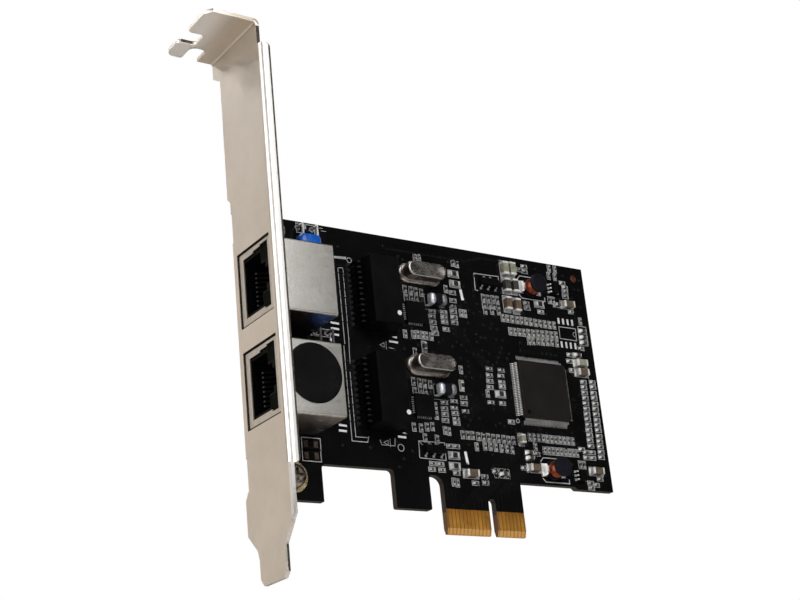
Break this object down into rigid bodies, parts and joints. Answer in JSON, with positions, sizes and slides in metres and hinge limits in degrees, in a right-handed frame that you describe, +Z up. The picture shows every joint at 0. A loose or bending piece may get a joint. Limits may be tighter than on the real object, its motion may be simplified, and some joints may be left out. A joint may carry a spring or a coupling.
{
  "type": "network interface card",
  "caption": "Wired network adapter: black circuit board with a short card edge connector, shielded jack sockets and a full-height folded metal slot bracket.",
  "frame": {"origin": "on the bracket's outer face, level with the board's component-side surface and with the lower edge of its contact fingers", "axes": "+Z up along the bracket towards the screw tab, +X along the board away from the bracket, -Y out of the component side"},
  "size_m": [0.1071, 0.0216, 0.12],
  "materials": {
    "bracket_steel": "nickel-plated sheet, satin",
    "port_shield": "tin-plated sheet, satin",
    "board_mask": "black solder mask, semi-gloss",
    "gold": "hard gold plating on the contacts",
    "screw_zinc": "bright zinc plating",
    "port_plastic": "black moulding",
    "contact_gold": "gold-plated spring wire",
    "window": "dark translucent indicator window",
    "label": "black vinyl sticker, bare",
    "chip_black": "moulding compound, fine matt",
    "lead_tin": "tin-plated leads",
    "crystal_can": "drawn nickel-silver can",
    "crystal_base": "pressed metal flange, plated",
    "disc_blue": "dipped blue epoxy",
    "ferrite": "dark ferrite",
    "copper": "enamelled copper wire",
    "ceramic": "grey-brown ceramic with tinned ends",
    "resistor": "black glaze with tinned ends"
  },
  "bodies": {
    "root": {"mounting_bracket": "bracket_steel", "circuit_board": "board_mask", "edge_contacts_front": "gold", "edge_contacts_back": "gold", "board_screws": "screw_zinc", "port_shield_lower": "port_shield", "port_shield_upper": "port_shield", "port_housing_lower": "port_plastic", "port_housing_upper": "port_plastic", "indicator_windows_lower": "window", "indicator_windows_upper": "window", "port_contacts_lower": "contact_gold", "port_contacts_upper": "contact_gold", "round_label": "label", "transformer_lower": "chip_black", "transformer_upper": "chip_black", "transformer_leads_lower": "lead_tin", "transformer_leads_upper": "lead_tin", "crystal_base_lower": "crystal_base", "crystal_base_upper": "crystal_base", "crystal_can_lower": "crystal_can", "crystal_can_upper": "crystal_can", "lan_controller_lower": "chip_black", "lan_controller_upper": "chip_black", "filter_choke_bodies": "ferrite", "filter_choke_terminals": "lead_tin", "bridge_chip": "chip_black", "bridge_chip_leads": "lead_tin", "disc_capacitor_upper": "disc_blue", "disc_capacitor_lower": "disc_blue", "disc_capacitor_leads": "lead_tin", "inductor_cores": "ferrite", "inductor_windings": "copper", "inductor_terminals": "lead_tin", "regulator_bodies": "chip_black", "regulator_leads": "lead_tin", "chip_resistors": "resistor", "chip_capacitors": "ceramic", "large_capacitors": "ceramic"}
  },
  "joints": []
}
